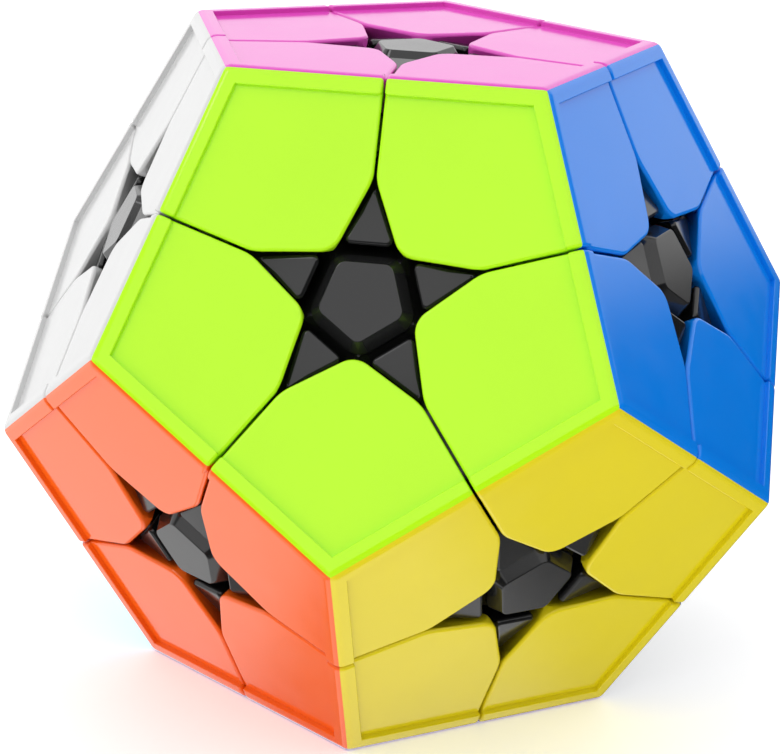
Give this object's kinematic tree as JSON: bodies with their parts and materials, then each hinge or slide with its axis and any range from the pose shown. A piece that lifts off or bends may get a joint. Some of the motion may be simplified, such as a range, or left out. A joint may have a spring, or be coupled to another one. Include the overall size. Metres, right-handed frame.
{
  "type": "dodecahedron twisty puzzle",
  "caption": "Dodecahedral twisty puzzle: rimmed kite tiles on every corner, star openings over black pentagonal caps, and face layers that turn about a screwed core.",
  "frame": {"origin": "middle of the core, which is also the middle of the puzzle", "axes": "+Z out of the pink face, opposite the face it stands on; -Y toward the lime face"},
  "size_m": [0.078, 0.082, 0.0668],
  "materials": {
    "black_plastic": "satin black moulding",
    "blue_plastic": "smooth moulded plastic with a soft satin shine",
    "cap_plastic": "polished black moulding with crisp bevels",
    "core_plastic": "fine matt black moulding",
    "cream_plastic": "smooth moulded plastic with a soft satin shine",
    "green_plastic": "smooth moulded plastic with a soft satin shine",
    "grey_plastic": "smooth moulded plastic with a soft satin shine",
    "lime_plastic": "smooth moulded plastic with a soft satin shine",
    "orange_plastic": "smooth moulded plastic with a soft satin shine",
    "pink_plastic": "smooth moulded plastic with a soft satin shine",
    "purple_plastic": "smooth moulded plastic with a soft satin shine",
    "red_plastic": "smooth moulded plastic with a soft satin shine",
    "screw_steel": "plain zinc-plated steel",
    "sky_plastic": "smooth moulded plastic with a soft satin shine",
    "spring_steel": "plain zinc-plated steel",
    "washer_steel": "plain zinc-plated steel",
    "white_plastic": "smooth moulded plastic with a soft satin shine",
    "yellow_plastic": "smooth moulded plastic with a soft satin shine"
  },
  "bodies": {
    "main": {"core": "core_plastic", "main_blue_tiles": "blue_plastic", "main_caps": "cap_plastic", "main_centres": "black_plastic", "main_corner_bases": "black_plastic", "main_cream_tiles": "cream_plastic", "main_edge_pieces": "black_plastic", "main_green_tiles": "green_plastic", "main_grey_tiles": "grey_plastic", "main_lime_tiles": "lime_plastic", "main_orange_tiles": "orange_plastic", "main_purple_tiles": "purple_plastic", "main_red_tiles": "red_plastic", "main_white_tiles": "white_plastic", "screws": "screw_steel", "springs": "spring_steel", "washers": "washer_steel"},
    "pink_layer": {"pink_layer_blue_tiles": "blue_plastic", "pink_layer_caps": "cap_plastic", "pink_layer_centres": "black_plastic", "pink_layer_corner_bases": "black_plastic", "pink_layer_cream_tiles": "cream_plastic", "pink_layer_edge_pieces": "black_plastic", "pink_layer_lime_tiles": "lime_plastic", "pink_layer_pink_tiles": "pink_plastic", "pink_layer_red_tiles": "red_plastic", "pink_layer_white_tiles": "white_plastic"},
    "sky_layer": {"sky_layer_caps": "cap_plastic", "sky_layer_centres": "black_plastic", "sky_layer_corner_bases": "black_plastic", "sky_layer_cream_tiles": "cream_plastic", "sky_layer_edge_pieces": "black_plastic", "sky_layer_green_tiles": "green_plastic", "sky_layer_orange_tiles": "orange_plastic", "sky_layer_purple_tiles": "purple_plastic", "sky_layer_sky_tiles": "sky_plastic", "sky_layer_white_tiles": "white_plastic"},
    "yellow_layer": {"yellow_layer_blue_tiles": "blue_plastic", "yellow_layer_caps": "cap_plastic", "yellow_layer_centres": "black_plastic", "yellow_layer_corner_bases": "black_plastic", "yellow_layer_edge_pieces": "black_plastic", "yellow_layer_grey_tiles": "grey_plastic", "yellow_layer_lime_tiles": "lime_plastic", "yellow_layer_orange_tiles": "orange_plastic", "yellow_layer_purple_tiles": "purple_plastic", "yellow_layer_yellow_tiles": "yellow_plastic"}
  },
  "joints": [
    {"name": "pink_turn", "type": "hinge", "parent": "main", "child": "pink_layer", "pos_m": [0, 0, 0], "axis": [0, 0, 1], "continuous": true},
    {"name": "yellow_turn", "type": "hinge", "parent": "main", "child": "yellow_layer", "pos_m": [0, 0, 0], "axis": [0.5257, -0.7236, -0.4472], "continuous": true},
    {"name": "sky_turn", "type": "hinge", "parent": "main", "child": "sky_layer", "pos_m": [0, 0, 0], "axis": [-0.8507, 0.2764, -0.4472], "continuous": true}
  ]
}
